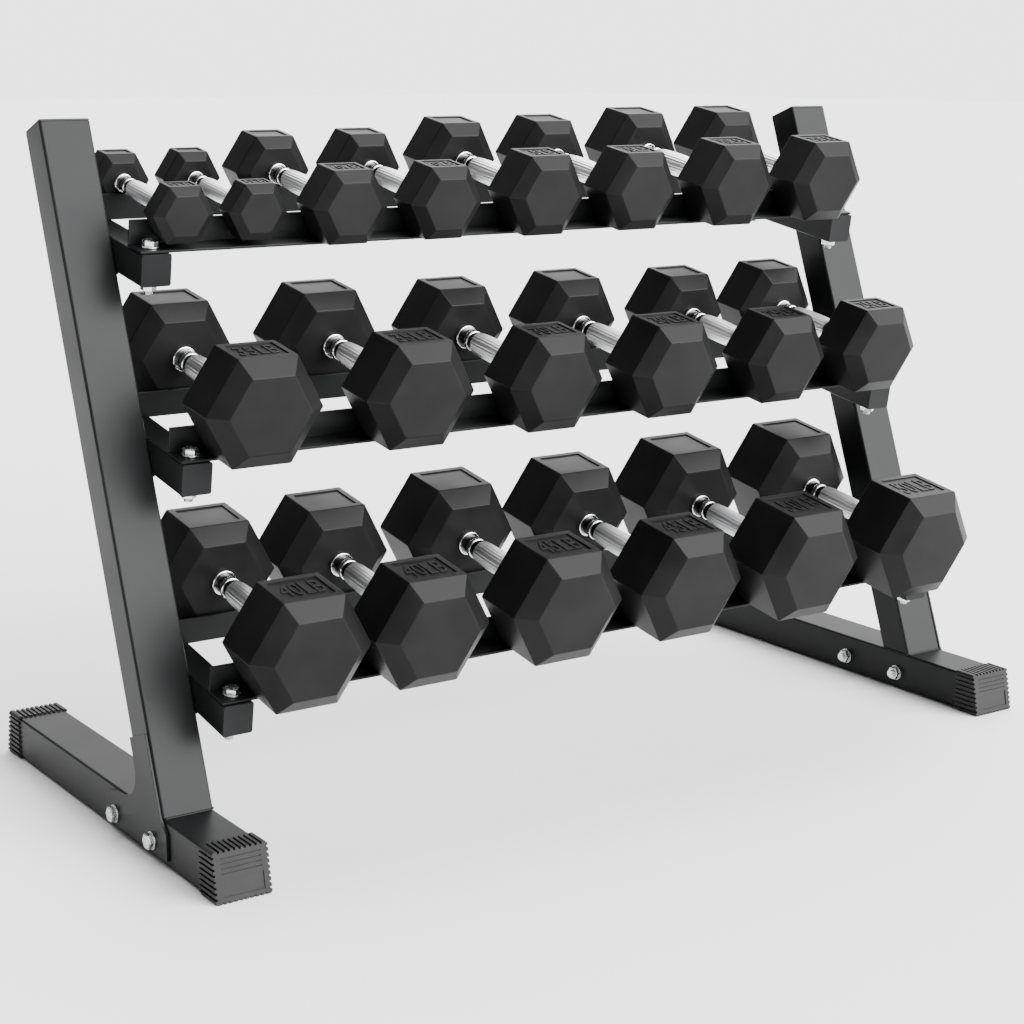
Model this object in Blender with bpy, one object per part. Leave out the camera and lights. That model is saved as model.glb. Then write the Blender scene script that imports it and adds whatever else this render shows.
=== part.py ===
"""Three-tier dumbbell rack with ten pairs of hexagonal dumbbells. Metres, +Z up, front towards -Y, +X right."""

import math

import bmesh
import bpy
from mathutils import Matrix, Vector

MM = 0.001
GAP = 0.3 * MM  # kept between pieces that touch

# Feet: one tube under each side, running front to back, with a slip-on cap at each end.
SIDE_X = 552.0 * MM  # centre of each foot and upright
TUBE_WIDE = 60.0 * MM
FOOT_HIGH = 49.3 * MM
WALL = 2.0 * MM
FOOT_LONG = 583.0 * MM  # over the caps, at the floor
CAP_PROUD = 2.3 * MM
CAP_BOTTOM_LONG = 40.0 * MM
CAP_TOP_LONG = 30.3 * MM  # the end face leans back
CAP_GRIP = 25.0 * MM  # how far the tube runs into the cap

# Uprights: leaning tubes that stand on the feet.
UPRIGHT_DEEP = 46.0 * MM
UPRIGHT_LONG = 778.0 * MM  # along the front face
UPRIGHT_LEAN = math.radians(20.0)
UPRIGHT_FOOT_Y = -162.0 * MM  # front face at the top of the foot
PLUG_PLATE = 3.0 * MM
PLUG_DEEP = 16.0 * MM

# Gusset plates: bolted to the feet, outside.
PLATE_THICK = 3.0 * MM
FOOT_BOLT_Y = (UPRIGHT_FOOT_Y + 21.0 * MM, UPRIGHT_FOOT_Y + 118.5 * MM)
FOOT_BOLT_Z = CAP_PROUD + 0.41 * FOOT_HIGH
GUSSET_UP = 93.0 * MM  # along the upright
GUSSET_STRAIGHT = 20.0 * MM  # of its rear edge, above the curve

# Arms: short tubes on the inner side of the uprights, low in front.
ARM_TILT = math.radians(9.75)
ARM_WIDE = 35.5 * MM
ARM_HIGH = 36.3 * MM
ARM_UP = {"bottom": 104.0 * MM, "middle": 368.0 * MM, "top": 598.0 * MM}  # along the upright
HANDLES_BEHIND = {"bottom": 36.5 * MM, "middle": 29.5 * MM, "top": 37.5 * MM}  # middle of a tier
ARM_PAST_RAIL = 3.0 * MM

# Rails: angle sections bolted down on the arms, upright leg inwards.
RAIL_LEG = 36.0 * MM
RAIL_TALL = 30.5 * MM
RAIL_THICK = 3.0 * MM
FLANGES_APART = 125.0 * MM  # outer face to outer face
FLANGE_AHEAD = {tier: FLANGES_APART / 2 - behind for tier, behind in HANDLES_BEHIND.items()}

# Bolts.
BOLT_R = 5.0 * MM
BOLT_HOLE_R = 5.5 * MM
HEX_R = 9.2 * MM  # over the corners
HEAD_HIGH = 6.4 * MM
WASHER_R = 10.0 * MM
WASHER_THICK = 2.0 * MM
BOLT_SPARE = 4.0 * MM

# Dumbbells: weight in pounds, then across flats, straight part of a head and its chamfer.
HEADS = {
    5: (64.0, 25.0, 8.0),
    10: (86.0, 39.0, 10.5),
    15: (97.0, 46.0, 12.0),
    20: (104.0, 49.0, 13.0),
    25: (111.0, 51.0, 14.0),
    30: (116.0, 54.0, 15.0),
    35: (123.0, 56.0, 15.7),
    40: (128.0, 61.0, 16.3),
    45: (132.0, 66.0, 17.0),
    50: (137.0, 72.0, 17.5),
}
CHAMFER_SHARE = 0.70  # end hexagon over full hexagon
HEAD_SLACK = 2.0 * MM  # from a rail's upright leg to the head beside it
COLLAR_LONG = 11.0 * MM
LAYOUT = {
    "top": ((5, -474), (5, -383), (10, -275), (10, -146), (15, -9), (15, 134), (20, 285), (20, 439)),
    "middle": ((35, -447), (35, -252), (30, -64), (30, 113), (25, 296), (25, 456)),
    "bottom": ((40, -446), (40, -294), (45, -116), (45, 64), (50, 246), (50, 441)),
}

INNER_X = SIDE_X - TUBE_WIDE / 2
FOOT_TOP = CAP_PROUD + FOOT_HIGH


def material(name, colour, metallic, roughness):
    made = bpy.data.materials.new(name)
    made.use_nodes = True
    shader = made.node_tree.nodes["Principled BSDF"]
    shader.inputs["Base Color"].default_value = (*colour, 1.0)
    shader.inputs["Metallic"].default_value = metallic
    shader.inputs["Roughness"].default_value = roughness
    return made


LOOKS = {
    "coat": ((0.035, 0.036, 0.036), 0.2, 0.42),
    "cap": ((0.03, 0.03, 0.032), 0.0, 0.6),
    "zinc": ((0.62, 0.62, 0.60), 1.0, 0.3),
    "head": ((0.05, 0.05, 0.052), 0.0, 0.5),
}


def finish(name, mesh, look, place=None):
    """Makes an object of a bmesh drawn in world space, with its own material, and its origin at the place."""
    place = place or Matrix()
    bmesh.ops.recalc_face_normals(mesh, faces=mesh.faces)
    mesh.transform(place.inverted())
    data = bpy.data.meshes.new(name)
    mesh.to_mesh(data)
    mesh.free()
    data.materials.append(material(name + "_" + look, *LOOKS[look]))
    made = bpy.data.objects.new(name, data)
    made.matrix_world = place
    bpy.context.scene.collection.objects.link(made)
    return made


def loft(rings, ends=True):
    """A skin through rings that have the same number of points, closed at both ends or joined round."""
    mesh = bmesh.new()
    rows = [[mesh.verts.new(point) for point in ring] for ring in rings]
    count = len(rows[0])
    pairs = list(zip(rows, rows[1:]))
    if not ends:
        pairs.append((rows[-1], rows[0]))
    for first, second in pairs:
        for i in range(count):
            j = (i + 1) % count
            mesh.faces.new((first[i], first[j], second[j], second[i]))
    if ends:
        mesh.faces.new(rows[0])
        mesh.faces.new(rows[-1][::-1])
    return mesh


def at(point, tilt=0.0):
    """The place of a piece: where its origin is and how far it is tilted about X."""
    return Matrix.Translation(point) @ Matrix.Rotation(tilt, 4, "X")


def rectangle(half_a, half_b):
    return [(-half_a, -half_b), (half_a, -half_b), (half_a, half_b), (-half_a, half_b)]


def hexagon(radius):
    """Twelve points: six corners and the middles of six flats, corners at the left and right."""
    flat = radius * math.cos(math.radians(30))
    angles = [math.radians(30 * i) for i in range(12)]
    radii = [radius if i % 2 == 0 else flat for i in range(12)]
    return [(r * math.cos(a), r * math.sin(a)) for r, a in zip(radii, angles)]


def circle(radius):
    angles = [math.radians(30 * i) for i in range(12)]
    return [(radius * math.cos(a), radius * math.sin(a)) for a in angles]


def placed(points, origin, along_a, along_b):
    return [origin + along_a * a + along_b * b for a, b in points]


def prism(outline, origin, along_a, along_b, along):
    """A flat outline carried along a vector."""
    near = placed(outline, origin, along_a, along_b)
    return loft([near, [point + along for point in near]])


def cutter(name, pins):
    """Round pins that drill holes. Each is a start, a direction and a length."""
    mesh = bmesh.new()
    for start, along, length in pins:
        turn = Vector((0, 0, 1)).rotation_difference(along).to_matrix().to_4x4()
        place = Matrix.Translation(start + along * (length / 2)) @ turn
        bmesh.ops.create_cone(
            mesh, cap_ends=True, segments=12, radius1=BOLT_HOLE_R, radius2=BOLT_HOLE_R,
            depth=length, matrix=place,
        )
    made = finish(name, mesh, "zinc")
    made.hide_render = True
    made.display_type = "WIRE"
    return made


def drill(host, name, pins):
    hole = host.modifiers.new("holes", "BOOLEAN")
    hole.operation = "DIFFERENCE"
    hole.solver = "EXACT"
    hole.object = cutter(name, pins)


def bolt(name, start, along, grip):
    """Head and washer at the start, then the shank through the grip, then washer, nut and thread end."""
    side = along.orthogonal().normalized()
    other = along.cross(side)
    steps = [
        (hexagon(HEX_R), -GAP - WASHER_THICK - HEAD_HIGH),
        (hexagon(HEX_R), -GAP - WASHER_THICK),
        (circle(WASHER_R), -GAP - WASHER_THICK),
        (circle(WASHER_R), -GAP),
        (circle(BOLT_R), -GAP),
        (circle(BOLT_R), grip + GAP),
        (circle(WASHER_R), grip + GAP),
        (circle(WASHER_R), grip + GAP + WASHER_THICK),
        (hexagon(HEX_R), grip + GAP + WASHER_THICK),
        (hexagon(HEX_R), grip + GAP + WASHER_THICK + HEAD_HIGH),
        (circle(BOLT_R), grip + GAP + WASHER_THICK + HEAD_HIGH),
        (circle(BOLT_R), grip + GAP + WASHER_THICK + HEAD_HIGH + BOLT_SPARE),
    ]
    mesh = loft([placed(ring, start + along * level, side, other) for ring, level in steps])
    finish(name, mesh, "zinc", at(start))


for old in list(bpy.data.objects):
    bpy.data.objects.remove(old, do_unlink=True)

X = Vector((1, 0, 0))
Y = Vector((0, 1, 0))
Z = Vector((0, 0, 1))
UP = Vector((0, math.sin(UPRIGHT_LEAN), math.cos(UPRIGHT_LEAN)))  # along an upright
BACK = Vector((0, math.cos(UPRIGHT_LEAN), -math.sin(UPRIGHT_LEAN)))  # across an upright, rearwards
AHEAD = Vector((0, -math.cos(ARM_TILT), -math.sin(ARM_TILT)))  # along an arm, forwards
LIFT = Vector((0, -math.sin(ARM_TILT), math.cos(ARM_TILT)))  # square to the arms, upwards
UPRIGHT_START = Vector((0, UPRIGHT_FOOT_Y, FOOT_TOP))


def tier_start(tier):
    """Underside of the arms of a tier at the front face of the uprights, in the middle of the rack."""
    return UPRIGHT_START + UP * ARM_UP[tier]


def foot(side, sign):
    half = (FOOT_LONG - CAP_BOTTOM_LONG - CAP_TOP_LONG) / 2 + CAP_GRIP
    centre = Vector((sign * SIDE_X, 0, CAP_PROUD + FOOT_HIGH / 2))
    outer = rectangle(TUBE_WIDE / 2, FOOT_HIGH / 2)
    inner = rectangle(TUBE_WIDE / 2 - WALL, FOOT_HIGH / 2 - WALL)
    ends = [(outer, -half), (outer, half), (inner, half), (inner, -half)]
    rings = [placed(ring, centre + Y * level, X, Z) for ring, level in ends]
    tube = finish("foot_" + side, loft(rings, ends=False), "coat", at(centre))
    start = sign * (INNER_X - 10 * MM)
    pins = [(Vector((start, y, FOOT_BOLT_Z)), X * sign, TUBE_WIDE + 20 * MM) for y in FOOT_BOLT_Y]
    drill(tube, "foot_holes_" + side, pins)
    for end, way in (("front", -1), ("rear", 1)):
        foot_cap("foot_cap_" + side + "_" + end, sign, way, half)


def foot_cap(name, sign, way, tube_half):
    """A cup over the end of the foot, its outer face leaning back from the floor."""
    low, high = 0.0, FOOT_HIGH + 2 * CAP_PROUD
    wide = TUBE_WIDE / 2 + CAP_PROUD
    floor_end = FOOT_LONG / 2
    mouth = floor_end - CAP_BOTTOM_LONG
    top_end = mouth + CAP_TOP_LONG
    depth = tube_half + GAP
    room_x = TUBE_WIDE / 2 + GAP
    room_low = CAP_PROUD - GAP
    room_high = CAP_PROUD + FOOT_HIGH + GAP

    def ring(half_x, z0, z1, y0, y1):
        corners = ((-half_x, y0, z0), (half_x, y0, z0), (half_x, y1, z1), (-half_x, y1, z1))
        return [Vector((sign * SIDE_X + x, way * y, z)) for x, y, z in corners]

    rings = [
        ring(wide, low, high, floor_end, top_end),
        ring(wide, low, high, mouth, mouth),
        ring(room_x, room_low, room_high, mouth, mouth),
        ring(room_x, room_low, room_high, depth, depth),
    ]
    finish(name, loft(rings), "cap", at(Vector((sign * SIDE_X, way * mouth, 0))))


def upright(side, sign):
    """A tube cut level at the foot and square at the top, with a push-in plug."""
    centre = UPRIGHT_START + X * (sign * SIDE_X) + BACK * (UPRIGHT_DEEP / 2)

    def section(half_x, half_y, level):
        points = []
        for a, b in rectangle(half_x, half_y):
            point = centre + X * a + BACK * b
            if level:
                point = point + UP * ((FOOT_TOP + GAP - point.z) / UP.z)
            else:
                point = point + UP * (UPRIGHT_LONG - PLUG_PLATE - GAP)
            points.append(point)
        return points

    half_x, half_y = TUBE_WIDE / 2, UPRIGHT_DEEP / 2
    rings = [
        section(half_x, half_y, True),
        section(half_x, half_y, False),
        section(half_x - WALL, half_y - WALL, False),
        section(half_x - WALL, half_y - WALL, True),
    ]
    finish("upright_" + side, loft(rings, ends=False), "coat", at(centre, -UPRIGHT_LEAN))
    fit = WALL + GAP
    steps = [
        (0, UPRIGHT_LONG),
        (0, UPRIGHT_LONG - PLUG_PLATE),
        (fit, UPRIGHT_LONG - PLUG_PLATE),
        (fit, UPRIGHT_LONG - PLUG_PLATE - PLUG_DEEP),
    ]
    rings = [placed(rectangle(half_x - less, half_y - less), centre + UP * up, X, BACK) for less, up in steps]
    finish("upright_plug_" + side, loft(rings), "cap", at(centre + UP * UPRIGHT_LONG, -UPRIGHT_LEAN))


def gusset(side, sign):
    """A plate over the joint of foot and upright: a stem up the upright and a tongue along the foot."""
    stem_top = UPRIGHT_START + UP * GUSSET_UP
    front_top = stem_top + BACK * (1 * MM)
    rear_top = stem_top + BACK * (UPRIGHT_DEEP - 2 * MM)
    low = CAP_PROUD + 7 * MM
    high = FOOT_TOP - 3.3 * MM
    rear_y = FOOT_BOLT_Y[1] + 26 * MM
    outline = [
        (UPRIGHT_FOOT_Y - 14 * MM, low),
        (rear_y - 7 * MM, low),
        (rear_y, low + 8 * MM),
        (rear_y, high - 16 * MM),
        (rear_y - 7 * MM, high - 4 * MM),
        (rear_y - 19 * MM, high),
    ]
    curve_end = rear_top - UP * GUSSET_STRAIGHT
    start_y, start_z = rear_y - 27 * MM, high + 1 * MM
    corner = curve_end - UP * ((curve_end.z - start_z) / UP.z)
    for i in range(7):
        t = i / 6
        y = (1 - t) ** 2 * start_y + 2 * t * (1 - t) * corner.y + t ** 2 * curve_end.y
        z = (1 - t) ** 2 * start_z + 2 * t * (1 - t) * corner.z + t ** 2 * curve_end.z
        outline.append((y, z))
    outline.append((rear_top.y, rear_top.z))
    outline.append((front_top.y, front_top.z))
    outline.append((UPRIGHT_FOOT_Y + 1 * MM, FOOT_TOP + 1 * MM))
    outline.append((UPRIGHT_FOOT_Y - 14 * MM, FOOT_TOP - 12 * MM))
    near = Vector((sign * (SIDE_X + TUBE_WIDE / 2 + GAP), 0, 0))
    mesh = prism(outline, near, Y, Z, X * (sign * PLATE_THICK))
    plate = finish("gusset_plate_" + side, mesh, "coat", at(near))
    pins = [(near + Y * y + Z * FOOT_BOLT_Z - X * (sign * 5 * MM), X * sign, 15 * MM) for y in FOOT_BOLT_Y]
    drill(plate, "gusset_holes_" + side, pins)
    grip = TUBE_WIDE + GAP + PLATE_THICK
    for place, y in zip(("front", "rear"), FOOT_BOLT_Y):
        start = near + Y * y + Z * FOOT_BOLT_Z + X * (sign * PLATE_THICK)
        bolt("foot_bolt_" + side + "_" + place, start, X * -sign, grip)


def rail_bolt_ahead(tier, end):
    middle = (RAIL_LEG + RAIL_THICK) / 2 - RAIL_THICK
    if end == "front":
        return FLANGE_AHEAD[tier] + middle
    return FLANGE_AHEAD[tier] - FLANGES_APART - middle


def arm_block(name, centre, less, front, rear):
    """The arm's outside, or its inside when less by the wall all round."""
    outline = rectangle(ARM_WIDE / 2 - less, ARM_HIGH / 2 - less)
    along = AHEAD * (front - rear - 2 * less)
    mesh = prism(outline, centre + AHEAD * (rear + less), X, LIFT, along)
    return finish(name, mesh, "coat", at(centre, ARM_TILT))


def arm(tier, side, sign):
    """A square tube with closed ends, drilled from top to bottom for the rail bolts."""
    reach = RAIL_LEG - RAIL_THICK + ARM_PAST_RAIL
    front = FLANGE_AHEAD[tier] + reach
    rear = FLANGE_AHEAD[tier] - FLANGES_APART - reach
    middle_x = sign * (INNER_X - GAP - ARM_WIDE / 2)
    centre = tier_start(tier) + X * middle_x + LIFT * (ARM_HIGH / 2)
    tube = arm_block("arm_" + tier + "_" + side, centre, 0, front, rear)
    room = arm_block("arm_room_" + tier + "_" + side, centre, WALL, front, rear)
    room.hide_render = True
    room.display_type = "WIRE"
    inside = tube.modifiers.new("inside", "BOOLEAN")
    inside.operation = "DIFFERENCE"
    inside.solver = "EXACT"
    inside.object = room
    pins = []
    for end in ("front", "rear"):
        foot_of = tier_start(tier) + X * middle_x + AHEAD * rail_bolt_ahead(tier, end)
        pins.append((foot_of - LIFT * (10 * MM), LIFT, ARM_HIGH + 20 * MM))
        start = foot_of + LIFT * (ARM_HIGH + GAP + RAIL_THICK)
        bolt("rail_bolt_" + tier + "_" + side + "_" + end, start, -LIFT, ARM_HIGH + GAP + RAIL_THICK)
    drill(tube, "arm_holes_" + tier + "_" + side, pins)


def rail(tier, end):
    """An angle between the uprights. The front one points its flat leg forwards, the rear one rearwards."""
    way = 1 if end == "front" else -1
    face = FLANGE_AHEAD[tier] - (0 if end == "front" else FLANGES_APART)
    half = INNER_X - GAP
    profile = [
        (face - way * RAIL_THICK, 0),
        (face - way * RAIL_THICK + way * RAIL_LEG, 0),
        (face - way * RAIL_THICK + way * RAIL_LEG, RAIL_THICK),
        (face, RAIL_THICK),
        (face, RAIL_TALL),
        (face - way * RAIL_THICK, RAIL_TALL),
    ]
    origin = tier_start(tier) + LIFT * (ARM_HIGH + GAP) - X * half
    mesh = prism(profile, origin, AHEAD, LIFT, X * (2 * half))
    corner = origin + X * half + AHEAD * face
    made = finish("rail_" + tier + "_" + end, mesh, "coat", at(corner, ARM_TILT))
    pins = []
    for sign in (-1, 1):
        middle_x = sign * (INNER_X - GAP - ARM_WIDE / 2)
        low = tier_start(tier) + X * middle_x + AHEAD * rail_bolt_ahead(tier, end)
        pins.append((low + LIFT * (ARM_HIGH - 5 * MM), LIFT, 15 * MM))
    drill(made, "rail_holes_" + tier + "_" + end, pins)


def dumbbell(name, tier, pounds, x):
    """Two hexagonal heads with chamfered ends on a round handle. Flats rest on the rails."""
    across, straight, chamfer = (value * MM for value in HEADS[pounds])
    corner = across / math.sqrt(3)
    seat = ARM_HIGH + GAP + RAIL_THICK + GAP
    collar_r = 14.0 * MM if pounds > 10 else 12.5 * MM
    if pounds == 5:
        collar_r = 11.0 * MM
    leg_top = ARM_HIGH + GAP + RAIL_TALL + GAP
    height = max(seat + across / 2, leg_top + collar_r)
    middle = FLANGE_AHEAD[tier] - FLANGES_APART / 2
    axis = tier_start(tier) + X * (x * MM) + AHEAD * middle + LIFT * height
    inner = FLANGES_APART / 2 + HEAD_SLACK
    neck_r = collar_r - 2.0 * MM
    half = [
        (circle(neck_r + 1.5 * MM), 0.0),
        (circle(neck_r), inner - COLLAR_LONG),
        (circle(collar_r), inner - COLLAR_LONG),
        (circle(collar_r), inner),
        (hexagon(corner * CHAMFER_SHARE), inner),
        (hexagon(corner), inner + chamfer),
        (hexagon(corner), inner + chamfer + straight),
        (hexagon(corner * CHAMFER_SHARE), inner + 2 * chamfer + straight),
    ]
    whole = [(ring, -out) for ring, out in reversed(half[1:])] + half
    mesh = loft([placed(ring, axis + AHEAD * out, X, LIFT) for ring, out in whole])
    finish(name, mesh, "head", at(axis, ARM_TILT))


for side, sign in (("left", -1), ("right", 1)):
    foot(side, sign)
    upright(side, sign)
    gusset(side, sign)
    for tier in ARM_UP:
        arm(tier, side, sign)
for tier in ARM_UP:
    for end in ("front", "rear"):
        rail(tier, end)
for tier, row in LAYOUT.items():
    seen = set()
    for pounds, x in row:
        letter = "b" if pounds in seen else "a"
        seen.add(pounds)
        dumbbell("dumbbell_%02d_lb_%s" % (pounds, letter), tier, pounds, x)
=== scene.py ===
import math

import bpy
from mathutils import Matrix, Vector


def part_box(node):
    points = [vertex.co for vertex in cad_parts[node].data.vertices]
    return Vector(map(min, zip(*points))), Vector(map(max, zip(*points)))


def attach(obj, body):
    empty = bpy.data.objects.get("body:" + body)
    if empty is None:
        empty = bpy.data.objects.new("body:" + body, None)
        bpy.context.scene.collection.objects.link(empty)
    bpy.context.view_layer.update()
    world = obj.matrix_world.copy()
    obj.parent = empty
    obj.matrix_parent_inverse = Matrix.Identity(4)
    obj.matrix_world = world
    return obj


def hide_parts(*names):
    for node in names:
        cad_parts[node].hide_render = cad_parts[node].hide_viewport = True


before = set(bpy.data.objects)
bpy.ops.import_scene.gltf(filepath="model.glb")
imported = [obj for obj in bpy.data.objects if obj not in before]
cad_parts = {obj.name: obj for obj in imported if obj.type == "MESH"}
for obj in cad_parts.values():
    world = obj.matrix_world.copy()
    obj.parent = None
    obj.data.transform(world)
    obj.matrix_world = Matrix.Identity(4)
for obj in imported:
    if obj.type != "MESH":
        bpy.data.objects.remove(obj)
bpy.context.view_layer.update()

mm = 0.001
print("frame loaded:", len(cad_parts), "pieces of steel, iron and plastic")


# picking and finishing, as used by every piece below

def clearSelection():
    for thing in list(bpy.context.selected_objects):
        thing.select_set(False)


def makeActive(piece):
    clearSelection()
    piece.select_set(True)
    bpy.context.view_layer.objects.active = piece


def pick(piece, kind, test):
    # enters edit mode with only the faces, edges or points that pass the test
    makeActive(piece)
    bpy.ops.object.mode_set(mode="EDIT")
    bpy.ops.mesh.select_mode(type=kind)
    bpy.ops.mesh.select_all(action="DESELECT")
    bpy.ops.object.mode_set(mode="OBJECT")
    parts = {"FACE": piece.data.polygons, "EDGE": piece.data.edges, "VERT": piece.data.vertices}[kind]
    for part in parts:
        part.select = test(part)
    bpy.ops.object.mode_set(mode="EDIT")


def leaveEdit():
    bpy.ops.object.mode_set(mode="OBJECT")


def edgeRuns(piece, edge, axis):
    # true if the edge lies along that axis
    first, second = (piece.data.vertices[i].co for i in edge.vertices)
    along = (second - first).normalized()
    return abs(along[axis]) > 0.999


def settle(piece):
    makeActive(piece)
    bpy.ops.object.transform_apply(location=True, rotation=True, scale=True)


def cube(name, size, middle=(0, 0, 0)):
    clearSelection()
    bpy.ops.mesh.primitive_cube_add(size=1, location=middle)
    piece = bpy.context.object
    piece.name = name
    piece.scale = size
    settle(piece)
    return piece


def cylinder(name, radius, length, sides, middle=(0, 0, 0), turn=(0, 0, 0)):
    clearSelection()
    bpy.ops.mesh.primitive_cylinder_add(
        vertices=sides, radius=radius, depth=length, location=middle, rotation=turn)
    piece = bpy.context.object
    piece.name = name
    settle(piece)
    return piece


def softenEdges(piece, width, segments=2, angle=25):
    makeActive(piece)
    bevel = piece.modifiers.new("soft edges", "BEVEL")
    bevel.width = width
    bevel.segments = segments
    bevel.limit_method = "ANGLE"
    bevel.angle_limit = math.radians(angle)
    bpy.ops.object.modifier_apply(modifier=bevel.name)


def shadeRound(piece, angle=40):
    makeActive(piece)
    bpy.ops.object.shade_smooth_by_angle(angle=math.radians(angle))
    even = piece.modifiers.new("even shading", "WEIGHTED_NORMAL")
    even.keep_sharp = True
    bpy.ops.object.modifier_apply(modifier=even.name)


def joinPieces(pieces, name):
    makeActive(pieces[0])
    for piece in pieces:
        piece.select_set(True)
    bpy.ops.object.join()
    joined = bpy.context.object
    joined.name = name
    joined.data.name = name
    return joined


def cutAway(piece, tool):
    makeActive(piece)
    cut = piece.modifiers.new("cut", "BOOLEAN")
    cut.operation = "DIFFERENCE"
    cut.solver = "EXACT"
    cut.object = tool
    bpy.ops.object.modifier_apply(modifier=cut.name)
    bpy.data.objects.remove(tool, do_unlink=True)


def copyOf(piece, name, place):
    twin = piece.copy()
    twin.data = piece.data.copy()
    twin.name = name
    twin.data.name = name
    bpy.context.scene.collection.objects.link(twin)
    twin.data.transform(place)
    return twin


def cleanCopy(node, name):
    # a copy of a steel piece from the frame, its loose triangles merged back into whole faces
    twin = copyOf(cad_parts[node], name, Matrix.Identity(4))
    twin.parent = None
    for key in list(twin.keys()):
        del twin[key]
    twin.data.materials.clear()
    pick(twin, "FACE", lambda face: True)
    bpy.ops.mesh.remove_doubles(threshold=0.00001)
    bpy.ops.mesh.dissolve_limited(angle_limit=math.radians(1))
    leaveEdit()
    return twin


def dress(piece, *finishes):
    piece.data.materials.clear()
    for finish in finishes:
        piece.data.materials.append(finish)


def boxMiddle(node):
    low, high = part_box(node)
    return (low + high) / 2


def tilted(middle, tilt):
    return Matrix.Translation(middle) @ Matrix.Rotation(tilt, 4, "X")


# finishes

def nodesOf(name):
    finish = bpy.data.materials.new(name)
    finish.use_nodes = True
    tree = finish.node_tree
    return finish, tree, tree.nodes["Principled BSDF"]


def grainNoise(tree, scale, detail=3.0, roughness=0.6):
    place = tree.nodes.new("ShaderNodeTexCoord")
    noise = tree.nodes.new("ShaderNodeTexNoise")
    noise.inputs["Scale"].default_value = scale
    noise.inputs["Detail"].default_value = detail
    noise.inputs["Roughness"].default_value = roughness
    tree.links.new(place.outputs["Object"], noise.inputs["Vector"])
    return noise


def rampBetween(tree, source, low, high, start=0.35, end=0.65):
    ramp = tree.nodes.new("ShaderNodeValToRGB")
    ramp.color_ramp.elements[0].position = start
    ramp.color_ramp.elements[1].position = end
    ramp.color_ramp.elements[0].color = (*low, 1)
    ramp.color_ramp.elements[1].color = (*high, 1)
    tree.links.new(source, ramp.inputs["Fac"])
    return ramp


def spread(tree, source, low, high):
    span = tree.nodes.new("ShaderNodeMapRange")
    span.inputs["From Min"].default_value = 0.3
    span.inputs["From Max"].default_value = 0.7
    span.inputs["To Min"].default_value = low
    span.inputs["To Max"].default_value = high
    tree.links.new(source, span.inputs["Value"])
    return span.outputs["Result"]


def raised(tree, shader, source, strength, depth, after=None):
    bump = tree.nodes.new("ShaderNodeBump")
    bump.inputs["Strength"].default_value = strength
    bump.inputs["Distance"].default_value = depth
    tree.links.new(source, bump.inputs["Height"])
    if after:
        tree.links.new(after.outputs["Normal"], bump.inputs["Normal"])
    tree.links.new(bump.outputs["Normal"], shader.inputs["Normal"])
    return bump


grainLook = {"peelStrength": 0.35, "fineStrength": 0.25}
coatLook = {
    "dark": (0.006, 0.0064, 0.0066), "light": (0.010, 0.0106, 0.0109), "gloss": (0.34, 0.42), "shine": 0.125,
    "patch": 9, "peel": 420, "peelDepth": 0.00012, "fine": 1800, "fineDepth": 0.00004,
}
rubberLook = {
    "dark": (0.004, 0.004, 0.004), "light": (0.007, 0.007, 0.007), "gloss": (0.38, 0.46), "shine": 0.115,
    "patch": 14, "peel": 260, "peelDepth": 0.00010, "fine": 2300, "fineDepth": 0.00006,
}
plasticLook = {
    "dark": (0.011, 0.011, 0.011), "light": (0.017, 0.017, 0.017), "gloss": (0.42, 0.55), "shine": 0.18,
    "patch": 30, "peel": 500, "peelDepth": 0.00006, "fine": 2600, "fineDepth": 0.00005,
}


def grainyFinish(name, look):
    finish, tree, shader = nodesOf(name)
    broad = grainNoise(tree, look["patch"], 2.0)
    colour = rampBetween(tree, broad.outputs["Fac"], look["dark"], look["light"])
    tree.links.new(colour.outputs["Color"], shader.inputs["Base Color"])
    tree.links.new(spread(tree, broad.outputs["Fac"], *look["gloss"]), shader.inputs["Roughness"])
    shader.inputs["Specular IOR Level"].default_value = look["shine"]
    peelNoise = grainNoise(tree, look["peel"], 1.0, 0.4)
    fineNoise = grainNoise(tree, look["fine"], 2.0)
    first = raised(tree, shader, peelNoise.outputs["Fac"], grainLook["peelStrength"], look["peelDepth"])
    raised(tree, shader, fineNoise.outputs["Fac"], grainLook["fineStrength"], look["fineDepth"], first)
    return finish


blackCoat = grainyFinish("blackPowderCoat", coatLook)
headRubber = grainyFinish("headRubber", rubberLook)
capPlastic = grainyFinish("capPlastic", plasticLook)

metalShade = 0.95  # the darker patches of a metal, as a share of its colour
chromeLook = {"colour": (0.86, 0.86, 0.87), "gloss": (0.07, 0.12), "grain": 60}
# the handle core's near-black colour is painted shade for the deep grooves between the chrome rings
grooveShadeLook = {"colour": (0.012, 0.012, 0.012), "gloss": (0.34, 0.42), "grain": 200}
zincLook = {
    "colour": (0.72, 0.73, 0.74), "gloss": (0.20, 0.30), "grain": 700, "strength": 0.15, "depth": 0.00002,
}


def metalFinish(name, look):
    finish, tree, shader = nodesOf(name)
    shader.inputs["Metallic"].default_value = 1.0
    noise = grainNoise(tree, look["grain"])
    colour = look["colour"]
    tint = rampBetween(tree, noise.outputs["Fac"], tuple(part * metalShade for part in colour), colour)
    tree.links.new(tint.outputs["Color"], shader.inputs["Base Color"])
    tree.links.new(spread(tree, noise.outputs["Fac"], *look["gloss"]), shader.inputs["Roughness"])
    if "depth" in look:
        raised(tree, shader, noise.outputs["Fac"], look["strength"], look["depth"])
    return finish


chrome = metalFinish("handleChrome", chromeLook)
paintedShadeGroove = metalFinish("paintedShadeGroove", grooveShadeLook)
zinc = metalFinish("boltZinc", zincLook)

knurlLook = {
    "around": 56, "twist": 36, "strength": 0.8, "depth": 0.00006, "colour": (0.84, 0.84, 0.85),
    "gloss": (0.28, 0.34), "grain": 90,
}


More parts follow.
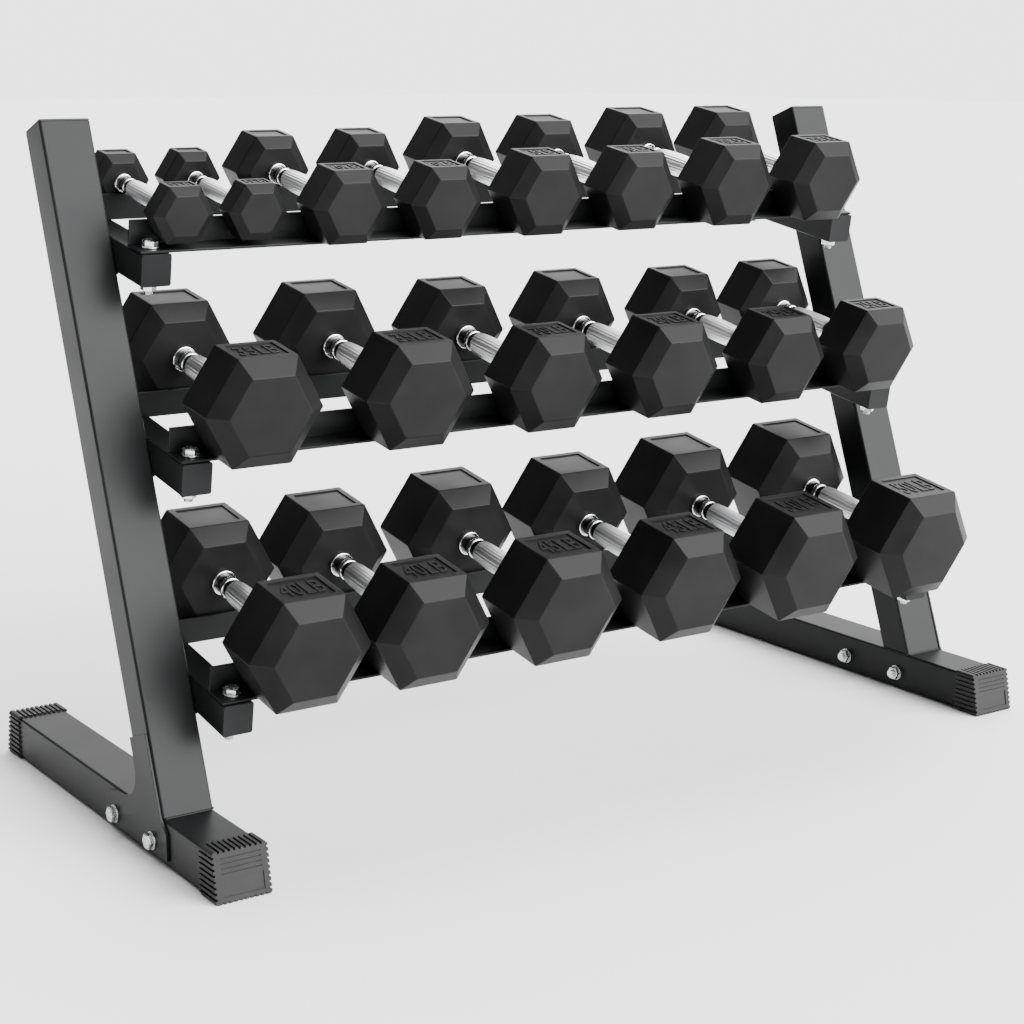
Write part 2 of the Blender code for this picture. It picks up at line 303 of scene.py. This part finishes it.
def knurledChrome():
    # two sets of crossed slanting lines that follow the grip's own unwrapped map
    finish, tree, shader = nodesOf("gripKnurl")
    shader.inputs["Metallic"].default_value = 1.0
    shader.inputs["Base Color"].default_value = (*knurlLook["colour"], 1)
    noise = grainNoise(tree, knurlLook["grain"])
    tree.links.new(spread(tree, noise.outputs["Fac"], *knurlLook["gloss"]), shader.inputs["Roughness"])
    place = tree.nodes.new("ShaderNodeTexCoord")
    split = tree.nodes.new("ShaderNodeSeparateXYZ")
    tree.links.new(place.outputs["UV"], split.inputs["Vector"])
    waves = []
    for way in (1, -1):
        around = tree.nodes.new("ShaderNodeMath")
        around.operation = "MULTIPLY"
        around.inputs[1].default_value = knurlLook["around"] * 2 * math.pi
        tree.links.new(split.outputs["X"], around.inputs[0])
        slant = tree.nodes.new("ShaderNodeMath")
        slant.operation = "MULTIPLY_ADD"
        slant.inputs[1].default_value = way * knurlLook["twist"] * 4 * math.pi
        tree.links.new(split.outputs["Y"], slant.inputs[0])
        tree.links.new(around.outputs["Value"], slant.inputs[2])
        wave = tree.nodes.new("ShaderNodeMath")
        wave.operation = "SINE"
        tree.links.new(slant.outputs["Value"], wave.inputs[0])
        waves.append(wave)
    peaks = tree.nodes.new("ShaderNodeMath")
    peaks.operation = "MAXIMUM"
    tree.links.new(waves[0].outputs["Value"], peaks.inputs[0])
    tree.links.new(waves[1].outputs["Value"], peaks.inputs[1])
    raised(tree, shader, peaks.outputs["Value"], knurlLook["strength"], knurlLook["depth"])
    return finish


gripKnurl = knurledChrome()
print("finishes mixed")


# the leaning uprights, the feet and the arms: square tubes with rounded corners

tubeSizes = {
    "corner": 3.2 * mm, "uprightWide": 60 * mm, "uprightDeep": 46 * mm, "uprightLong": 778 * mm,
    "lean": math.radians(20), "footWide": 60 * mm, "footHigh": 49.3 * mm, "plugPlate": 3 * mm,
    "armWide": 35.5 * mm, "armHigh": 36.3 * mm, "armLong": 197 * mm, "armCorner": 2.4 * mm,
    "tilt": math.radians(9.75), "edge": 0.35 * mm, "uncutLong": 900 * mm, "footGap": 0.2 * mm,
}
plugSizes = {
    "short": 0.4 * mm, "corner": 3 * mm, "rim": 1.6 * mm, "edge": 1.0 * mm, "skirtShort": 4.8 * mm,
    "skirtLong": 14 * mm,
}
tilt = tubeSizes["tilt"]
ahead = Vector((0, -math.cos(tilt), -math.sin(tilt)))
lift = Vector((0, -math.sin(tilt), math.cos(tilt)))


def roundedTube(name, size, axis, corner):
    tube = cube(name, size)
    pick(tube, "EDGE", lambda edge: edgeRuns(tube, edge, axis))
    bpy.ops.mesh.bevel(offset=corner, segments=4, affect="EDGES")
    leaveEdit()
    softenEdges(tube, tubeSizes["edge"], 2, 50)
    return tube


def makeUpright(side):
    low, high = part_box("upright_" + side)
    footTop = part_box("foot_" + side)[1].z
    lean, uncut = tubeSizes["lean"], tubeSizes["uncutLong"]
    size = (tubeSizes["uprightWide"], tubeSizes["uprightDeep"], uncut)
    tube = roundedTube("uprightTube", size, 2, tubeSizes["corner"])
    start = Vector(((low.x + high.x) / 2, low.y, footTop))
    across = Vector((0, math.cos(lean), -math.sin(lean))) * (tubeSizes["uprightDeep"] / 2)
    up = Vector((0, math.sin(lean), math.cos(lean)))
    top = tubeSizes["uprightLong"] - tubeSizes["plugPlate"]
    tube.data.transform(tilted(start + across + up * (top - uncut / 2), -lean))
    # cut level just above the foot
    pick(tube, "FACE", lambda face: True)
    level = (0, 0, footTop + tubeSizes["footGap"])
    bpy.ops.mesh.bisect(plane_co=level, plane_no=(0, 0, 1), clear_inner=True, use_fill=True)
    leaveEdit()
    shadeRound(tube)
    tube.name = "upright_tube_" + side
    dress(tube, blackCoat)
    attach(tube, "rack")
    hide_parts("upright_" + side)
    makePlug(side, tilted(start + across + up * top, -lean))


def makePlug(side, place):
    # a plate on the tube's mouth, with a skirt down inside it
    wide, deep, thick = tubeSizes["uprightWide"], tubeSizes["uprightDeep"], tubeSizes["plugPlate"]
    less = plugSizes["short"]
    plug = cube("plug", (wide - less, deep - less, thick), (0, 0, thick / 2))
    pick(plug, "EDGE", lambda edge: edgeRuns(plug, edge, 2))
    bpy.ops.mesh.bevel(offset=plugSizes["corner"], segments=4, affect="EDGES")
    leaveEdit()
    pick(plug, "FACE", lambda face: face.normal.z > 0.9)
    bpy.ops.mesh.inset(thickness=plugSizes["rim"], depth=0)
    leaveEdit()
    softenEdges(plug, plugSizes["edge"], 3, 50)
    less, long = plugSizes["skirtShort"], plugSizes["skirtLong"]
    skirt = cube("skirt", (wide - less, deep - less, long), (0, 0, -long / 2))
    plug = joinPieces([plug, skirt], "plug")
    shadeRound(plug)
    plug.data.transform(place)
    plug.name = "upright_cap_" + side
    dress(plug, capPlastic)
    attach(plug, "rack")
    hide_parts("upright_plug_" + side)


def makeFoot(side):
    low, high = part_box("foot_" + side)
    tube = roundedTube("footTube", high - low, 1, tubeSizes["corner"])
    tube.data.transform(Matrix.Translation((low + high) / 2))
    shadeRound(tube)
    tube.name = "foot_tube_" + side
    dress(tube, blackCoat)
    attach(tube, "rack")
    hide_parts("foot_" + side)


def makeArm(tier, side):
    node = "arm_" + tier + "_" + side
    size = (tubeSizes["armWide"], tubeSizes["armLong"], tubeSizes["armHigh"])
    tube = roundedTube(node + "_tube", size, 1, tubeSizes["armCorner"])
    dress(tube, blackCoat)
    shadeRound(tube)
    tube.data.transform(tilted(boxMiddle(node), tilt))
    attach(tube, "rack")
    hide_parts(node)


for side in ("left", "right"):
    makeUpright(side)
    makeFoot(side)
    for tier in ("bottom", "middle", "top"):
        makeArm(tier, side)
print("uprights, feet and arms made")


# angle rails and gusset plates: the frame's own shapes with softened edges

plateSizes = {"railEdge": 0.8 * mm, "gussetEdge": 0.7 * mm}


def makePlate(node, edge):
    plate = cleanCopy(node, node + "_steel")
    softenEdges(plate, edge, 3, 30)
    shadeRound(plate)
    dress(plate, blackCoat)
    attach(plate, "rack")
    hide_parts(node)


for tier in ("bottom", "middle", "top"):
    for end in ("front", "rear"):
        makePlate("rail_" + tier + "_" + end, plateSizes["railEdge"])
for side in ("left", "right"):
    makePlate("gusset_plate_" + side, plateSizes["gussetEdge"])
print("rails and gusset plates made")


# ribbed caps on the ends of the feet

capSizes = {
    "wide": 64.6 * mm, "high": 53.9 * mm, "bottomLong": 40 * mm, "topLong": 30.3 * mm, "corner": 3.5 * mm,
    "grooveWide": 2.8 * mm, "grooveDeep": 2.0 * mm, "topGrooves": 9, "sideGrooves": 8, "pitch": 6.1 * mm,
    "lines": 4, "lineWide": 1.3 * mm, "lineDeep": 1.2 * mm, "linePitch": 5.2 * mm, "firstLine": 7.5 * mm,
    "lineShare": 0.72, "panelDeep": 1.0 * mm, "panelHigh": 19 * mm, "panelLow": 6.5 * mm, "panelShare": 0.76,
    "edge": 0.45 * mm,
}


def repeated(tool, count, step, axis):
    makeActive(tool)
    row = tool.modifiers.new("row", "ARRAY")
    row.count = count
    row.use_relative_offset = False
    row.use_constant_offset = True
    row.constant_offset_displace = [step if i == axis else 0 for i in range(3)]
    row.use_merge_vertices = False
    bpy.ops.object.modifier_apply(modifier=row.name)


def runsBack(cap, edge):
    # true for the four long edges at the sides
    ends = [cap.data.vertices[i].co for i in edge.vertices]
    return all(abs(end.x) > 0.01 for end in ends) and abs(ends[0].y - ends[1].y) > 0.02


def cutIntoFace(cap, name, size, level, slope):
    # level is the height of the cut's middle on the slanting face
    tool = cube(name, size)
    faceY = -capSizes["bottomLong"] + slope * level
    slant = Matrix.Rotation(-math.atan(slope), 4, "X")
    tool.data.transform(Matrix.Translation((0, faceY, level)) @ slant)
    cutAway(cap, tool)


def makeCapShape():
    # stands on z = 0 with its mouth at y = 0 and its face towards -Y
    sizes = capSizes
    wide, high, long = sizes["wide"], sizes["high"], sizes["bottomLong"]
    back = long - sizes["topLong"]
    cap = cube("cap", (wide, long, high), (0, -long / 2, high / 2))
    pick(cap, "VERT", lambda point: point.co.y < -0.001 and point.co.z > 0.01)
    bpy.ops.transform.translate(value=(0, back, 0))
    leaveEdit()
    pick(cap, "EDGE", lambda edge: runsBack(cap, edge))
    bpy.ops.mesh.bevel(offset=sizes["corner"], segments=4, affect="EDGES")
    leaveEdit()
    gap, deep, pitch = sizes["grooveWide"], sizes["grooveDeep"], sizes["pitch"]
    count = sizes["topGrooves"]
    bars = cube("bars", (gap, long * 2, deep * 2), (-pitch * (count - 1) / 2, -long / 2, 0))
    repeated(bars, count, pitch, 0)
    repeated(bars, 2, high, 2)
    cutAway(cap, bars)
    count = sizes["sideGrooves"]
    bars = cube("bars", (deep * 2, long * 2, gap), (-wide / 2, -long / 2, high / 2 - pitch * (count - 1) / 2))
    repeated(bars, count, pitch, 2)
    repeated(bars, 2, wide, 0)
    cutAway(cap, bars)
    slope = back / high
    for i in range(sizes["lines"]):
        size = (wide * sizes["lineShare"], sizes["lineDeep"] * 2, sizes["lineWide"])
        cutIntoFace(cap, "line", size, high - sizes["firstLine"] - i * sizes["linePitch"], slope)
    size = (wide * sizes["panelShare"], sizes["panelDeep"] * 2, sizes["panelHigh"])
    cutIntoFace(cap, "panel", size, sizes["panelLow"] + sizes["panelHigh"] / 2, slope)
    softenEdges(cap, sizes["edge"], 2, 30)
    shadeRound(cap)
    return cap


capShape = makeCapShape()
for side in ("left", "right"):
    for end in ("front", "rear"):
        node = "foot_cap_" + side + "_" + end
        low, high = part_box(node)
        mouth = high.y if end == "front" else low.y
        turn = 0 if end == "front" else math.pi
        place = Matrix.Translation(((low.x + high.x) / 2, mouth, 0)) @ Matrix.Rotation(turn, 4, "Z")
        cap = copyOf(capShape, node + "_ribbed", place)
        dress(cap, capPlastic)
        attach(cap, "rack")
        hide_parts(node)
bpy.data.objects.remove(capShape, do_unlink=True)
print("foot caps made")


# bolts with their washers and nuts, along -Z from the face that the head sits on

boltSizes = {
    "hex": 9.2 * mm, "head": 6.4 * mm, "washer": 10 * mm, "washerThick": 2 * mm, "shank": 5 * mm,
    "spare": 4 * mm, "gap": 0.3 * mm, "railGrip": 39.6 * mm, "footGrip": 63.3 * mm, "boltFromArm": 79 * mm,
    "seatFromArm": 21.45 * mm, "crown": 0.6 * mm, "crownIn": 1.1 * mm, "edge": 0.3 * mm,
    "shankLess": 0.2 * mm, "buried": 0.5 * mm, "turns": 12, "root": 0.86,
}


def hexPiece(name, base, way):
    sizes = boltSizes
    plain = sizes["head"] - sizes["crown"]
    piece = cylinder(name, sizes["hex"], plain, 6, (0, 0, base + way * plain / 2))
    pick(piece, "FACE", lambda face: face.normal.z * way > 0.9)
    bpy.ops.mesh.inset(thickness=sizes["crownIn"], depth=sizes["crown"])
    leaveEdit()
    softenEdges(piece, sizes["edge"], 2, 20)
    return piece


def washerPiece(name, middle):
    piece = cylinder(name, boltSizes["washer"], boltSizes["washerThick"], 40, (0, 0, middle))
    softenEdges(piece, boltSizes["edge"], 2, 50)
    return piece


def threadPiece(name, top, length):
    piece = cylinder(name, boltSizes["shank"], length, 24, (0, 0, top - length / 2))
    pick(piece, "EDGE", lambda edge: edgeRuns(piece, edge, 2))
    turns, root = boltSizes["turns"], boltSizes["root"]
    bpy.ops.mesh.subdivide(number_cuts=turns - 1)
    leaveEdit()
    step = length / turns
    for i in range(1, turns, 2):
        level = top - step * i
        pick(piece, "VERT", lambda point: abs(point.co.z - level) < step * 0.2)
        bpy.ops.transform.resize(value=(root, root, 1), center_override=(0, 0, level))
        leaveEdit()
    return piece


def makeBolt(name, grip):
    sizes = boltSizes
    gap, thick, head = sizes["gap"], sizes["washerThick"], sizes["head"]
    under = -grip - gap - thick - head
    pieces = [
        hexPiece("boltHead", gap + thick, 1),
        washerPiece("washerOver", gap + thick / 2),
        cylinder("shank", sizes["shank"] - sizes["shankLess"], grip + 2 * gap, 24, (0, 0, -grip / 2)),
        washerPiece("washerUnder", -grip - gap - thick / 2),
        hexPiece("nut", -grip - gap - thick, -1),
        threadPiece("thread", under + sizes["buried"], sizes["spare"] + sizes["buried"]),
    ]
    bolt = joinPieces(pieces, name)
    shadeRound(bolt, 35)
    dress(bolt, zinc)
    return bolt


railBolt = makeBolt("railBolt", boltSizes["railGrip"])
for tier in ("bottom", "middle", "top"):
    for side in ("left", "right"):
        for end, way in (("front", 1), ("rear", -1)):
            node = "rail_bolt_" + tier + "_" + side + "_" + end
            seat = boxMiddle("arm_" + tier + "_" + side)
            seat = seat + ahead * (way * boltSizes["boltFromArm"]) + lift * boltSizes["seatFromArm"]
            bolt = copyOf(railBolt, node + "_hex", tilted(seat, tilt))
            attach(bolt, "rack")
            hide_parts(node)
footBolt = makeBolt("footBolt", boltSizes["footGrip"])
for side, way in (("left", -1), ("right", 1)):
    for end in ("front", "rear"):
        node = "foot_bolt_" + side + "_" + end
        low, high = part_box("gusset_plate_" + side)
        middle = boxMiddle(node)
        outer = low.x if way < 0 else high.x
        place = Matrix.Translation((outer, middle.y, middle.z)) @ Matrix.Rotation(way * math.pi / 2, 4, "Y")
        bolt = copyOf(footBolt, node + "_hex", place)
        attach(bolt, "rack")
        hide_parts(node)
for spare in (railBolt, footBolt):
    bpy.data.objects.remove(spare, do_unlink=True)
print("bolts made")


# weld beads where the arms meet the uprights and the uprights stand on the feet

weldSizes = {
    "radius": 1.5 * mm, "ripple": 2.2 * mm, "valley": 0.82, "end": 0.5, "armLong": 50 * mm,
    "baseLong": 56 * mm, "sideLong": 46 * mm, "sunk": 0.3 * mm,
}


def makeBead(name, length):
    # lies along Y
    bead = cylinder(name, weldSizes["radius"], length, 14, turn=(math.pi / 2, 0, 0))
    cuts = int(length / weldSizes["ripple"]) * 2 + 1
    pick(bead, "EDGE", lambda edge: edgeRuns(bead, edge, 1))
    bpy.ops.mesh.subdivide(number_cuts=cuts)
    leaveEdit()
    step = length / (cuts + 1)
    for point in bead.data.vertices:
        ring = round((point.co.y + length / 2) / step)
        size = 1.0 if ring % 2 else weldSizes["valley"]
        if ring in (0, cuts + 1):
            size = weldSizes["end"]
        point.co.x *= size
        point.co.z *= size
    shadeRound(bead, 60)
    dress(bead, blackCoat)
    return bead


armBead = makeBead("armBead", weldSizes["armLong"])
for tier in ("bottom", "middle", "top"):
    for side, way in (("left", -1), ("right", 1)):
        middle = boxMiddle("arm_" + tier + "_" + side)
        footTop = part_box("foot_" + side)[1].z
        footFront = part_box("upright_" + side)[0].y
        up = Vector((0, math.sin(tubeSizes["lean"]), math.cos(tubeSizes["lean"])))
        back = Vector((0, math.cos(tubeSizes["lean"]), -math.sin(tubeSizes["lean"])))
        line = Vector((0, footFront, footTop)) + back * (tubeSizes["uprightDeep"] / 2)
        for level, word in ((1, "over"), (-1, "under")):
            edge = middle + lift * (level * tubeSizes["armHigh"] / 2)
            # where the upright's centre line crosses the edge of the arm
            along = (edge - line).dot(lift) / up.dot(lift)
            spot = line + up * along
            spot.x = middle.x + way * (tubeSizes["armWide"] / 2 - weldSizes["sunk"])
            bead = copyOf(armBead, "weld_" + tier + "_" + side + "_" + word, tilted(spot, tilt))
            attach(bead, "rack")
bpy.data.objects.remove(armBead, do_unlink=True)
baseBead = makeBead("baseBead", weldSizes["baseLong"])
sideBead = makeBead("sideBead", weldSizes["sideLong"])
for side, way in (("left", -1), ("right", 1)):
    low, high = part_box("upright_" + side)
    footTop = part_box("foot_" + side)[1].z
    middleX = (low.x + high.x) / 2
    deep = tubeSizes["uprightDeep"] / math.cos(tubeSizes["lean"])
    across = Matrix.Rotation(math.pi / 2, 4, "Z")
    places = {
        "front": Matrix.Translation((middleX, low.y, footTop)) @ across,
        "rear": Matrix.Translation((middleX, low.y + deep, footTop)) @ across,
    }
    for word, place in places.items():
        bead = copyOf(baseBead, "weld_base_" + side + "_" + word, place)
        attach(bead, "rack")
    place = Matrix.Translation((middleX - way * tubeSizes["uprightWide"] / 2, low.y + deep / 2, footTop))
    bead = copyOf(sideBead, "weld_base_" + side + "_inner", place)
    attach(bead, "rack")
for spare in (baseBead, sideBead):
    bpy.data.objects.remove(spare, do_unlink=True)
print("weld beads made")


# dumbbells: a head for each weight, modelled once and copied

headSizes = {
    # pounds: across flats, straight part, chamfer, in millimetres
    5: (64, 25, 8), 10: (86, 39, 10.5), 15: (97, 46, 12), 20: (104, 49, 13), 25: (111, 51, 14),
    30: (116, 54, 15), 35: (123, 56, 15.7), 40: (128, 61, 16.3), 45: (132, 66, 17), 50: (137, 72, 17.5),
}
headShape = {
    "endShare": 0.70, "edge": 1.0 * mm, "panelInset": 0.105, "panelDeep": 1.5 * mm, "digitProud": 0.9 * mm,
    "panelEdge": 0.3 * mm, "digitsWide": 0.68, "digitsHigh": 0.50, "digitEdge": 0.15 * mm, "apart": 129 * mm,
}


def makeHead(pounds):
    # the inner end is at y = 0 and the outer end towards -Y
    across, straight, chamfer = (size * mm for size in headSizes[pounds])
    corner = across / math.sqrt(3)
    middle = -(chamfer + straight / 2)
    head = cylinder("head", corner, straight, 6, (0, middle, 0), (math.pi / 2, math.pi / 6, 0))
    shrink = across / 2 * (1 - headShape["endShare"])
    pick(head, "FACE", lambda face: abs(face.normal.y) > 0.9)
    bpy.ops.mesh.inset(thickness=shrink, depth=chamfer, use_even_offset=True)
    leaveEdit()
    softenEdges(head, headShape["edge"], 3, 20)
    # a sunk panel on the upper flat
    pick(head, "FACE", lambda face: face.normal.z > 0.999 and face.center.z > across / 2 - 0.0001)
    bpy.ops.mesh.inset(thickness=min(straight, corner) * headShape["panelInset"], depth=0)
    bpy.ops.mesh.inset(thickness=headShape["panelEdge"], depth=-headShape["panelDeep"])
    leaveEdit()
    return head


def addDigits(head, pounds):
    # raised in the panel, and fitted to its width and length
    across, straight, chamfer = (size * mm for size in headSizes[pounds])
    corner = across / math.sqrt(3)
    clearSelection()
    bpy.ops.object.text_add()
    digits = bpy.context.object
    digits.data.body = "%dLB" % pounds
    digits.data.align_x = "CENTER"
    digits.data.align_y = "CENTER"
    digits.data.size = straight
    digits.data.extrude = headShape["digitProud"] / 2
    digits.data.bevel_depth = headShape["digitEdge"]
    digits.data.bevel_resolution = 0
    digits.data.resolution_u = 3
    bpy.ops.object.convert(target="MESH")
    digits = bpy.context.object
    corners = [Vector(point) for point in digits.bound_box]
    middle = (corners[0] + corners[6]) / 2
    digits.data.transform(Matrix.Translation(-middle))
    wide, high = corners[6].x - corners[0].x, corners[6].y - corners[0].y
    fitWide, fitHigh = corner * headShape["digitsWide"] / wide, straight * headShape["digitsHigh"] / high
    digits.data.transform(Matrix.Diagonal((fitWide, fitHigh, 1, 1)))
    top = across / 2 - headShape["panelDeep"] + headShape["digitProud"] / 2
    digits.data.transform(Matrix.Translation((0, -(chamfer + straight / 2), top)))
    return joinPieces([head, digits], "labelled")


handleShape = {
    # each ring: radius, distance from a head and length
    "rings": ((15.0 * mm, 0, 4.6 * mm), (12.9 * mm, 15.3 * mm, 7.0 * mm)), "ringEdge": 1.6 * mm,
    "core": 11.6 * mm, "buried": 1 * mm, "gripStart": 31.0 * mm, "gripEnd": 13.6 * mm,
    "gripMiddle": 14.8 * mm, "ribs": 24, "ribDeep": 0.035, "steps": 16, "swellCurve": 0.8,
}
handleScales = {"small": 0.74, "middle": 0.86, "large": 1.0}


def makeHandle(scale):
    # lies along Y, its middle at the origin
    shape = handleShape
    half = headShape["apart"] / 2
    lay = (math.pi / 2, 0, 0)
    pieces = [cylinder("core", shape["core"] * scale, 2 * (half + shape["buried"]), 32, turn=lay)]
    for radius, start, length in shape["rings"]:
        for way in (-1, 1):
            middle = way * (half - (start + length / 2))
            ring = cylinder("ring", radius * scale, length, 48, (0, middle, 0), lay)
            softenEdges(ring, shape["ringEdge"], 4, 50)
            pieces.append(ring)
    # the core shows only in the grooves between the rings, painted near black as painted shade there
    dress(pieces[0], paintedShadeGroove)
    for piece in pieces[1:]:
        dress(piece, chrome)
    gripLong = 2 * (half - shape["gripStart"])
    ribs, steps = shape["ribs"], shape["steps"]
    grip = cylinder("grip", shape["gripEnd"] * scale, gripLong, ribs * 4, turn=lay)
    # four points round the grip for each rib, the first two of them lowered to its groove
    pick(grip, "VERT", lambda point: round(math.atan2(point.co.z, point.co.x) / (math.pi / 2 / ribs)) % 4 < 2)
    low = 1 - shape["ribDeep"]
    bpy.ops.transform.resize(value=(low, 1, low), center_override=(0, 0, 0))
    leaveEdit()
    pick(grip, "EDGE", lambda edge: edgeRuns(grip, edge, 1))
    bpy.ops.mesh.subdivide(number_cuts=steps - 1)
    leaveEdit()
    swell = shape["gripMiddle"] / shape["gripEnd"] - 1
    for i in range(1, steps):
        level = -gripLong / 2 + gripLong * i / steps
        size = 1 + swell * math.sin(math.pi * i / steps) ** shape["swellCurve"]
        pick(grip, "VERT", lambda point: abs(point.co.y - level) < gripLong / steps / 4)
        bpy.ops.transform.resize(value=(size, 1, size), center_override=(0, level, 0))
        leaveEdit()
    dress(grip, gripKnurl)
    handle = joinPieces(pieces + [grip], "handle")
    shadeRound(handle, 40)
    return handle


weights = sorted({int(node[9:11]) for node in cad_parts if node.startswith("dumbbell")})
handles = {size: makeHandle(scale) for size, scale in handleScales.items()}
for pounds in weights:
    plain = makeHead(pounds)
    labelled = addDigits(copyOf(plain, "labelled", Matrix.Identity(4)), pounds)
    for head in (plain, labelled):
        shadeRound(head, 30)
        dress(head, headRubber)
    handle = handles["small" if pounds == 5 else "middle" if pounds == 10 else "large"]
    for letter in "ab":
        node = "dumbbell_%02d_lb_%s" % (pounds, letter)
        place = tilted(boxMiddle(node), tilt)
        half = headShape["apart"] / 2
        front = copyOf(labelled, node + "_front_head", place @ Matrix.Translation((0, -half, 0)))
        turned = Matrix.Translation((0, half, 0)) @ Matrix.Rotation(math.pi, 4, "Z")
        rear = copyOf(plain, node + "_rear_head", place @ turned)
        bar = copyOf(handle, node + "_handle", place)
        for piece in (front, rear, bar):
            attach(piece, node)
        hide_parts(node)
    for spare in (plain, labelled):
        bpy.data.objects.remove(spare, do_unlink=True)
for spare in handles.values():
    bpy.data.objects.remove(spare, do_unlink=True)
print("dumbbells made:", len(weights) * 2)


# floor, light and camera

stageLook = {
    "floor": 0.94, "white": 3.1, "base": 0.09, "key": (0.45, -0.80, 0.40), "keyPower": 22.0, "keyTight": 8.0,
    "over": (0.42, 0.45, 0.79), "overPower": 8.0, "overTight": 6.0, "floorWide": 60, "floorBack": 10,
    "floorDown": 0.5 * mm, "floorGrain": 3.0, "floorGloss": (0.66, 0.74),
}
cameraView = {
    "lens": 72.24, "sensor": 36, "shift": (0.0157, -0.0358), "far": 100, "place": (-1.4448, -2.0821, 0.8481),
    "down": math.radians(11.48), "aside": math.radians(33.91),
}


def makeFloor():
    clearSelection()
    middle = (0, stageLook["floorBack"], -stageLook["floorDown"])
    bpy.ops.mesh.primitive_plane_add(size=stageLook["floorWide"], location=middle)
    floor = bpy.context.object
    floor.name = "floor"
    finish, tree, shader = nodesOf("paleFloor")
    level = stageLook["floor"]
    shader.inputs["Base Color"].default_value = (level, level, level, 1)
    noise = grainNoise(tree, stageLook["floorGrain"], 2.0)
    tree.links.new(spread(tree, noise.outputs["Fac"], *stageLook["floorGloss"]), shader.inputs["Roughness"])
    floor.data.materials.append(finish)


def softBox(tree, direction, power, tight, heading):
    # a round patch of sky that fades outwards
    facing = tree.nodes.new("ShaderNodeVectorMath")
    facing.operation = "DOT_PRODUCT"
    facing.inputs[1].default_value = Vector(direction).normalized()
    tree.links.new(heading, facing.inputs[0])
    above = tree.nodes.new("ShaderNodeMath")
    above.operation = "MAXIMUM"
    above.inputs[1].default_value = 0.0
    tree.links.new(facing.outputs["Value"], above.inputs[0])
    fade = tree.nodes.new("ShaderNodeMath")
    fade.operation = "POWER"
    fade.inputs[1].default_value = tight
    tree.links.new(above.outputs["Value"], fade.inputs[0])
    scaled = tree.nodes.new("ShaderNodeMath")
    scaled.operation = "MULTIPLY"
    scaled.inputs[1].default_value = power
    tree.links.new(fade.outputs["Value"], scaled.inputs[0])
    return scaled.outputs["Value"]


def makeSky():
    # soft light from the front right and from above, and a plain white backdrop behind
    world = bpy.data.worlds.new("studio")
    world.use_nodes = True
    tree = world.node_tree
    background = tree.nodes["Background"]
    background.inputs["Color"].default_value = (1, 1, 1, 1)
    place = tree.nodes.new("ShaderNodeTexCoord")
    heading = place.outputs["Generated"]
    key = softBox(tree, stageLook["key"], stageLook["keyPower"], stageLook["keyTight"], heading)
    over = softBox(tree, stageLook["over"], stageLook["overPower"], stageLook["overTight"], heading)
    both = tree.nodes.new("ShaderNodeMath")
    both.operation = "ADD"
    tree.links.new(key, both.inputs[0])
    tree.links.new(over, both.inputs[1])
    light = tree.nodes.new("ShaderNodeMath")
    light.operation = "ADD"
    light.inputs[1].default_value = stageLook["base"]
    tree.links.new(both.outputs["Value"], light.inputs[0])
    backdrop = tree.nodes.new("ShaderNodeMix")
    path = tree.nodes.new("ShaderNodeLightPath")
    tree.links.new(path.outputs["Is Camera Ray"], backdrop.inputs["Factor"])
    tree.links.new(light.outputs["Value"], backdrop.inputs["A"])
    backdrop.inputs["B"].default_value = stageLook["white"]
    tree.links.new(backdrop.outputs["Result"], background.inputs["Strength"])
    bpy.context.scene.world = world


def makeCamera():
    data = bpy.data.cameras.new("camera")
    data.sensor_width = cameraView["sensor"]
    data.lens = cameraView["lens"]
    data.shift_x, data.shift_y = cameraView["shift"]
    data.clip_end = cameraView["far"]
    camera = bpy.data.objects.new("camera", data)
    camera.location = cameraView["place"]
    camera.rotation_euler = (math.pi / 2 - cameraView["down"], 0, -cameraView["aside"])
    bpy.context.scene.collection.objects.link(camera)
    bpy.context.scene.camera = camera


makeFloor()
makeSky()
makeCamera()
print("stage set")
